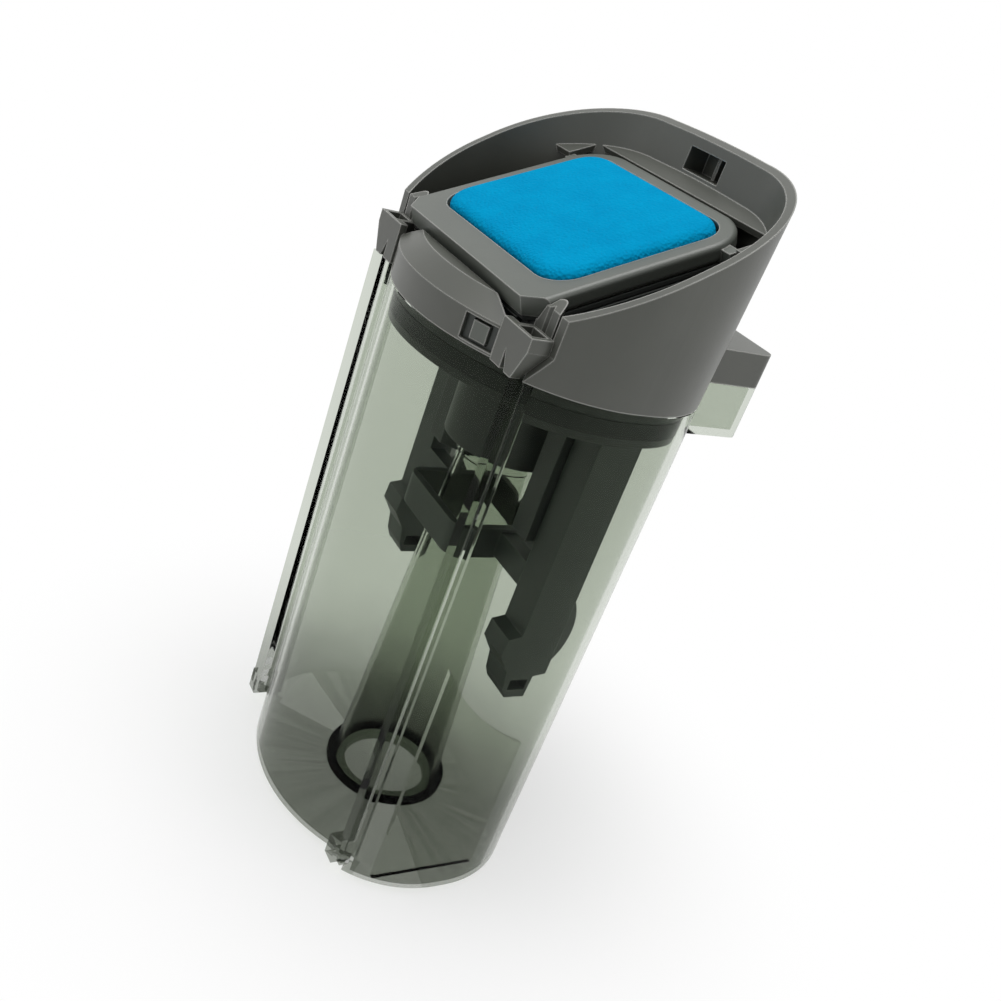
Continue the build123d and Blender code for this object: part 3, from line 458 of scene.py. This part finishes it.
FINISHES = {
    # The clear finishes below darken towards their foot with painted shade.
    "clear_plastic": SmokedClear("smoked_clear", linear(209, 214, 205), linear(203, 208, 199), 0.04),
    "thin_clear_plastic": SmokedClear("thin_smoked_clear", linear(236, 239, 231), linear(230, 234, 226),
                                      0.04, foot_shade=(0.82, 0.84, 0.8)),
    # The moulded finishes below get a painted highlight along their edges.
    "grey_plastic": Moulded("satin_warm_grey", linear(80, 82, 76), linear(73, 75, 70), 0.40),
    "light_grey_plastic": Moulded("satin_light_grey", linear(92, 96, 90), linear(84, 88, 83), 0.38),
    "dark_plastic": Moulded("satin_dark", linear(42, 47, 43), linear(35, 40, 37), 0.45,
                            painted_highlight=linear(80, 85, 80), painted_highlight_amount=0.4),
    "float_plastic": Moulded("satin_float", linear(50, 56, 51), linear(43, 49, 45), 0.45,
                             painted_highlight=linear(90, 96, 90), painted_highlight_amount=0.4),
    "rubber": Finish("matt_rubber", linear(34, 38, 35), linear(28, 31, 29), 0.7),
    "silicone": Finish("smoky_silicone", linear(186, 193, 182), linear(176, 183, 172), 0.5),
    "blue_sponge": Foam("blue_foam", linear(0, 151, 200), linear(0, 140, 190), 0.9, 0.05,
                        patch_fineness=140.0, patch_amount=0.6, relief=Pattern.CELLS,
                        relief_fineness=1300.0, relief_depth=0.25 * MM),
    "filter_paper": Finish("filter_paper", linear(222, 222, 216), linear(205, 206, 198), 0.9,
                           relief_fineness=900.0, relief_depth=0.05 * MM),
    "steel": Metal("plated_steel", linear(170, 172, 174), linear(150, 152, 154), 0.3),
}


class Wardrobe:
    """Builds each finish once and gives it out by the record's slot name."""

    def __init__(self) -> None:
        """Build the shared effects and every material."""
        effects = SharedEffects()
        self.materials = {slot: finish.build(effects) for slot, finish in FINISHES.items()}

    def dress(self, piece: bpy.types.Object, slot: str) -> None:
        """Put one finish on all of a piece."""
        if not piece.data.materials:
            piece.data.materials.append(None)
        for index in range(len(piece.data.materials)):
            piece.data.materials[index] = self.materials[slot]


# Modelling helpers

def start_fresh() -> None:
    """Leave edit mode and select nothing, so that the next operator acts on its own piece alone."""
    if bpy.context.object and bpy.context.object.mode != "OBJECT":
        bpy.ops.object.mode_set(mode="OBJECT")
    bpy.ops.object.select_all(action="DESELECT")


def pick(piece: bpy.types.Object, domain: str, chosen: Iterable[int]) -> None:
    """Select elements of the piece that is in edit mode.

    Args:
        piece: the piece.
        domain: VERT, EDGE or FACE.
        chosen: indices of the elements.
    """
    bpy.ops.mesh.select_mode(type=domain)
    bpy.ops.mesh.select_all(action="DESELECT")
    bpy.ops.object.mode_set(mode="OBJECT")
    elements = {"VERT": piece.data.vertices, "EDGE": piece.data.edges, "FACE": piece.data.polygons}[domain]
    for index in chosen:
        elements[index].select = True
    bpy.ops.object.mode_set(mode="EDIT")


@dataclass
class SpongePad:
    """The foam pad in the filter tray: crowned on top, with rounded corners and soft rims.

    The plain solid gives its size and place. Everything is shaped in the solid's own frame, laid
    flat, on a copy that is enlarged to the size of a cushion, because the cloth solver is made for that.
    """

    solid: bpy.types.Object
    slope: float
    corner_radius: float = 8 * MM
    rim_radius: float = 2.6 * MM
    swell: float = 1.3 * MM
    voxel: float = 1.1 * MM
    enlargement: float = 10.0
    corner_facets: int = 8
    rim_facets: int = 4
    calming: float = 0.5
    calming_rounds: int = 6
    pressure: float = 4.0
    steps: int = 20

    def flat_box(self) -> tuple[Vector, Vector]:
        """Box of the plain solid, turned back onto the level.

        Returns:
            Its lowest and its highest corner.
        """
        level = Matrix.Rotation(-self.slope, 3, "X")
        points = [level @ vertex.co for vertex in self.solid.data.vertices]
        low, high = ([pick_one(point[i] for point in points) for i in range(3)] for pick_one in (min, max))
        return Vector(low), Vector(high)

    def build(self) -> bpy.types.Object:
        """Model the pad.

        Returns:
            The pad, in place, with its place in its mesh.
        """
        low, high = self.flat_box()
        reach = (high - low) * self.enlargement
        reach.z -= self.swell * self.enlargement
        start_fresh()
        bpy.ops.mesh.primitive_cube_add(size=1.0)
        pad = bpy.context.object
        pad.name = pad.data.name = "foam_pad"
        pad.scale = reach
        bpy.ops.object.transform_apply(scale=True)
        bpy.ops.object.mode_set(mode="EDIT")
        self._round(self._corner_edges(pad), pad, self.corner_radius, self.corner_facets)
        self._round(self._rim_edges(pad), pad, self.rim_radius, self.rim_facets)
        bpy.ops.object.mode_set(mode="OBJECT")
        self._remesh(pad)
        self._inflate(pad)
        smooth = pad.modifiers.new("smooth", "SUBSURF")
        smooth.levels = smooth.render_levels = 1
        bpy.ops.object.modifier_apply(modifier=smooth.name)
        bpy.ops.object.shade_smooth()
        pad.scale = (1 / self.enlargement,) * 3
        pad.location = ((low.x + high.x) / 2, (low.y + high.y) / 2, (low.z + high.z - self.swell) / 2)
        bpy.ops.object.transform_apply(location=True, scale=True)
        pad.rotation_euler = (self.slope, 0.0, 0.0)
        bpy.ops.object.transform_apply(rotation=True)
        return pad

    def _corner_edges(self, pad: bpy.types.Object) -> list[int]:
        """Find the four upright edges."""
        points = [vertex.co for vertex in pad.data.vertices]
        return [edge.index for edge in pad.data.edges
                if abs(points[edge.vertices[0]].z - points[edge.vertices[1]].z) > self.rim_radius]

    def _rim_edges(self, pad: bpy.types.Object) -> list[int]:
        """Find the edges round the two broad faces."""
        level = 0.9
        broad = [face for face in pad.data.polygons if abs(face.normal.z) > level]
        keys = {key for face in broad for key in face.edge_keys}
        return [edge.index for edge in pad.data.edges if edge.key in keys]

    def _round(self, edges: Iterable[int], pad: bpy.types.Object, radius: float, segments: int) -> None:
        """Round edges of the pad, which is in edit mode.

        Args:
            edges: indices of the edges.
            pad: the pad.
            radius: the radius at real size.
            segments: number of facets of the rounding.
        """
        pick(pad, "EDGE", edges)
        bpy.ops.mesh.bevel(offset=radius * self.enlargement, segments=segments, affect="EDGES")
        bpy.ops.object.mode_set(mode="OBJECT")
        bpy.ops.object.mode_set(mode="EDIT")

    def _remesh(self, pad: bpy.types.Object) -> None:
        """Give the pad an even mesh that can stretch."""
        even = pad.modifiers.new("even", "REMESH")
        even.mode = "VOXEL"
        even.voxel_size = self.voxel * self.enlargement
        bpy.ops.object.modifier_apply(modifier=even.name)
        calm = pad.modifiers.new("calm", "SMOOTH")
        calm.factor = self.calming
        calm.iterations = self.calming_rounds
        bpy.ops.object.modifier_apply(modifier=calm.name)

    def _inflate(self, pad: bpy.types.Object) -> None:
        """Let the foam swell by cloth simulation, and keep its upward moves, scaled to the wanted swell."""
        before = [vertex.co.copy() for vertex in pad.data.vertices]
        cloth = pad.modifiers.new("swell", "CLOTH")
        cloth.settings.use_pressure = True
        cloth.settings.uniform_pressure_force = self.pressure
        cloth.settings.effector_weights.gravity = 0.0
        for frame_number in range(1, self.steps + 1):
            bpy.context.scene.frame_set(frame_number)
        bpy.ops.object.modifier_apply(modifier=cloth.name)
        bpy.context.scene.frame_set(1)
        moves = [vertex.co - start for vertex, start in zip(pad.data.vertices, before)]
        share = self.swell * self.enlargement / max(move.z for move in moves)
        for vertex, start, move in zip(pad.data.vertices, before, moves):
            lift = max(move.z, 0.0) * share if start.z > 0 else 0.0
            vertex.co = start + Vector((0.0, 0.0, lift))
        LOG.info("the foam swelled, and its highest rise was taken times %.2f", share)


# Sub-assemblies

@dataclass
class SubAssembly:
    """A group of nodes that is dressed from one table of slots."""

    frame: dict[str, Any]
    wardrobe: Wardrobe
    nodes: tuple[str, ...] = ()
    special_finishes: dict[str, str] = field(default_factory=dict)

    def dress(self) -> None:
        """Give every node of the group the finish of its slot in the record."""
        slots = {part["node"]: part["material_slot"] for part in self.frame["record"]["subparts"]}
        for name in self.nodes:
            finish = self.special_finishes.get(name, slots[name])
            self.wardrobe.dress(self.frame["nodes"][name], finish)
            LOG.info("dressed %s in %s", name, finish)


@dataclass
class Vessel(SubAssembly):
    """The see-through tank with its riser, inner panel and inlet gasket."""

    nodes: tuple[str, ...] = ("tank_vessel", "riser_pipe", "splash_panel", "inlet_gasket")
    special_finishes: dict[str, str] = field(default_factory=lambda: {
        "inlet_gasket": "silicone", "splash_panel": "thin_clear_plastic"})


@dataclass
class Lid(SubAssembly):
    """Everything that lifts off with the grey collar."""

    nodes: tuple[str, ...] = ("lid_base", "lid_seal", "collar", "lug_cap", "front_cap", "filter_well",
                              "separator_hood", "hood_screws", "right_catch_bezel", "left_catch_bezel",
                              "right_catch_button", "left_catch_button", "right_catch_spring",
                              "left_catch_spring")


@dataclass
class FloatUnit(SubAssembly):
    """The two side floats, the ring that ties them together and their rubber pads."""

    nodes: tuple[str, ...] = ("float_frame", "right_side_float", "left_side_float", "right_valve_pad",
                              "left_valve_pad")


@dataclass
class FilterPack(SubAssembly):
    """The lift-out tray with its pleats, seal and foam pad."""

    nodes: tuple[str, ...] = ("filter_tray", "pleated_filter", "filter_seal")

    def slope(self) -> float:
        """Angle of the tray, from the direction in which it lifts out."""
        axis = next(j["axis"] for j in self.frame["joints"] if j["name"] == "filter_lift")
        return atan2(-axis[1], axis[2])

    def add_foam(self) -> None:
        """Model the foam pad and let it stand for the plain solid."""
        pad = SpongePad(self.frame["nodes"]["sponge_pad"], self.slope()).build()
        self.wardrobe.dress(pad, "blue_sponge")
        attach(pad, "filter")
        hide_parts("sponge_pad")
        LOG.info("modelled %s with %d faces", pad.name, len(pad.data.polygons))


# Studio

@dataclass(frozen=True)
class SoftBox:
    """One square soft light that looks at the middle of the tank."""

    name: str
    place: Triple
    size: float
    power: float


@dataclass(frozen=True)
class Studio:
    """A pale floor, a white surround, soft lights and the camera."""

    camera_place: Triple = (0.22541, -0.17820, 0.23565)
    camera_turn: Triple = (63.690, -18.697, 60.962)
    lens: float = 38.82
    sensor_width: float = 36.0
    nearest: float = 10 * MM
    aim: Triple = (0.0, 0.0, 0.11)
    surround_light: float = 0.16
    floor_radius: float = 4.0
    floor_facets: int = 96
    floor_colour: Colour = (0.92, 0.92, 0.92)
    floor_roughness: float = 0.9
    floor_fade: tuple[float, float] = (0.04, 0.15)
    floor_white: float = 0.5
    soft_boxes: tuple[SoftBox, ...] = (
        SoftBox("top_light", (0.0, -0.1, 1.3), 0.9, 12.5),
        SoftBox("right_light", (1.0, 0.75, 0.55), 0.9, 4.5),
        SoftBox("front_light", (-0.45, -1.2, 0.75), 0.9, 3.5),
    )

    def set_up(self) -> None:
        """Build the whole studio."""
        self._camera()
        self._surround()
        self._floor()
        for box in self.soft_boxes:
            self._light(box)

    def _camera(self) -> None:
        """Place the camera where the picture was taken from, rolled as it was."""
        data = bpy.data.cameras.new("camera")
        data.lens = self.lens
        data.sensor_width = self.sensor_width
        data.clip_start = self.nearest
        camera = bpy.data.objects.new("camera", data)
        camera.location = self.camera_place
        camera.rotation_euler = [radians(angle) for angle in self.camera_turn]
        bpy.context.scene.collection.objects.link(camera)
        bpy.context.scene.camera = camera

    def _surround(self) -> None:
        """White where the eye sees it, and a plain soft light for everything else."""
        world = bpy.data.worlds.new("surround")
        bpy.context.scene.world = world
        world.use_nodes = True
        wiring = Wiring(world.node_tree)
        background = world.node_tree.nodes["Background"]
        seen = self._seen(wiring)
        mix = wiring.add("ShaderNodeMix", data_type="RGBA")
        mix.inputs["A"].default_value = (self.surround_light,) * 3 + (1.0,)
        mix.inputs["B"].default_value = WHITE
        wiring.link(seen, mix.inputs["Factor"])
        wiring.link(mix.outputs["Result"], background.inputs["Color"])

    @staticmethod
    def _seen(wiring: Wiring) -> bpy.types.NodeSocket:
        """One where the eye sees it, straight, mirrored or through clear plastic, and nought elsewhere."""
        path = wiring.add("ShaderNodeLightPath")
        looked_at = path.outputs["Is Camera Ray"]
        for way in ("Is Transmission Ray", "Is Glossy Ray"):
            either = wiring.add("ShaderNodeMath", operation="MAXIMUM")
            wiring.link(looked_at, either.inputs[0])
            wiring.link(path.outputs[way], either.inputs[1])
            looked_at = either.outputs["Value"]
        unscattered = wiring.add("ShaderNodeMath", operation="LESS_THAN")
        unscattered.inputs[1].default_value = 0.5
        seen = wiring.add("ShaderNodeMath", operation="MULTIPLY")
        wiring.link(path.outputs["Diffuse Depth"], unscattered.inputs[0])
        wiring.link(looked_at, seen.inputs[0])
        wiring.link(unscattered.outputs["Value"], seen.inputs[1])
        return seen.outputs["Value"]

    def _floor(self) -> None:
        """A pale floor that takes the tank's shadow and turns white away from it."""
        start_fresh()
        bpy.ops.mesh.primitive_circle_add(vertices=self.floor_facets, radius=self.floor_radius,
                                          fill_type="NGON")
        floor = bpy.context.object
        floor.name = "studio_floor"
        material = bpy.data.materials.new("pale_floor")
        material.use_nodes = True
        wiring = Wiring(material.node_tree)
        shader = material.node_tree.nodes["Principled BSDF"]
        shader.inputs["Base Color"].default_value = (*self.floor_colour, 1.0)
        shader.inputs["Roughness"].default_value = self.floor_roughness
        shader.inputs["Specular IOR Level"].default_value = 0.0
        output = material.node_tree.nodes["Material Output"]
        place = wiring.add("ShaderNodeTexCoord")
        far = wiring.add("ShaderNodeVectorMath", operation="LENGTH")
        fade = wiring.add("ShaderNodeMapRange", interpolation_type="SMOOTHSTEP")
        fade.inputs["From Min"].default_value, fade.inputs["From Max"].default_value = self.floor_fade
        fade.inputs["To Min"].default_value = self.floor_white
        shown = wiring.add("ShaderNodeMath", operation="MULTIPLY")
        white = wiring.add("ShaderNodeEmission")
        mix = wiring.add("ShaderNodeMixShader")
        wiring.link(place.outputs["Object"], far.inputs[0])
        wiring.link(far.outputs["Value"], fade.inputs["Value"])
        wiring.link(fade.outputs["Result"], shown.inputs[0])
        wiring.link(self._seen(wiring), shown.inputs[1])
        wiring.link(shown.outputs["Value"], mix.inputs["Fac"])
        wiring.link(shader.outputs["BSDF"], mix.inputs[1])
        wiring.link(white.outputs["Emission"], mix.inputs[2])
        wiring.link(mix.outputs["Shader"], output.inputs["Surface"])
        floor.data.materials.append(material)

    def _light(self, box: SoftBox) -> None:
        """Hang one soft light.

        Args:
            box: its place, size and power.
        """
        data = bpy.data.lights.new(box.name, "AREA")
        data.size = box.size
        data.energy = box.power
        light = bpy.data.objects.new(box.name, data)
        light.location = box.place
        way = Vector(self.aim) - Vector(box.place)
        light.rotation_euler = way.to_track_quat("-Z", "Y").to_euler()
        bpy.context.scene.collection.objects.link(light)


def main() -> None:
    """Load the frame, set up the studio and dress every sub-assembly."""
    logging.basicConfig(level=logging.INFO, format="%(name)s: %(message)s")
    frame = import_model()
    Studio().set_up()
    bpy.context.scene.view_settings.view_transform = "Standard"
    wardrobe = Wardrobe()
    for group in (Vessel, Lid, FloatUnit):
        group(frame, wardrobe).dress()
    pack = FilterPack(frame, wardrobe)
    pack.dress()
    pack.add_foam()


if __name__ == "__main__":
    main()
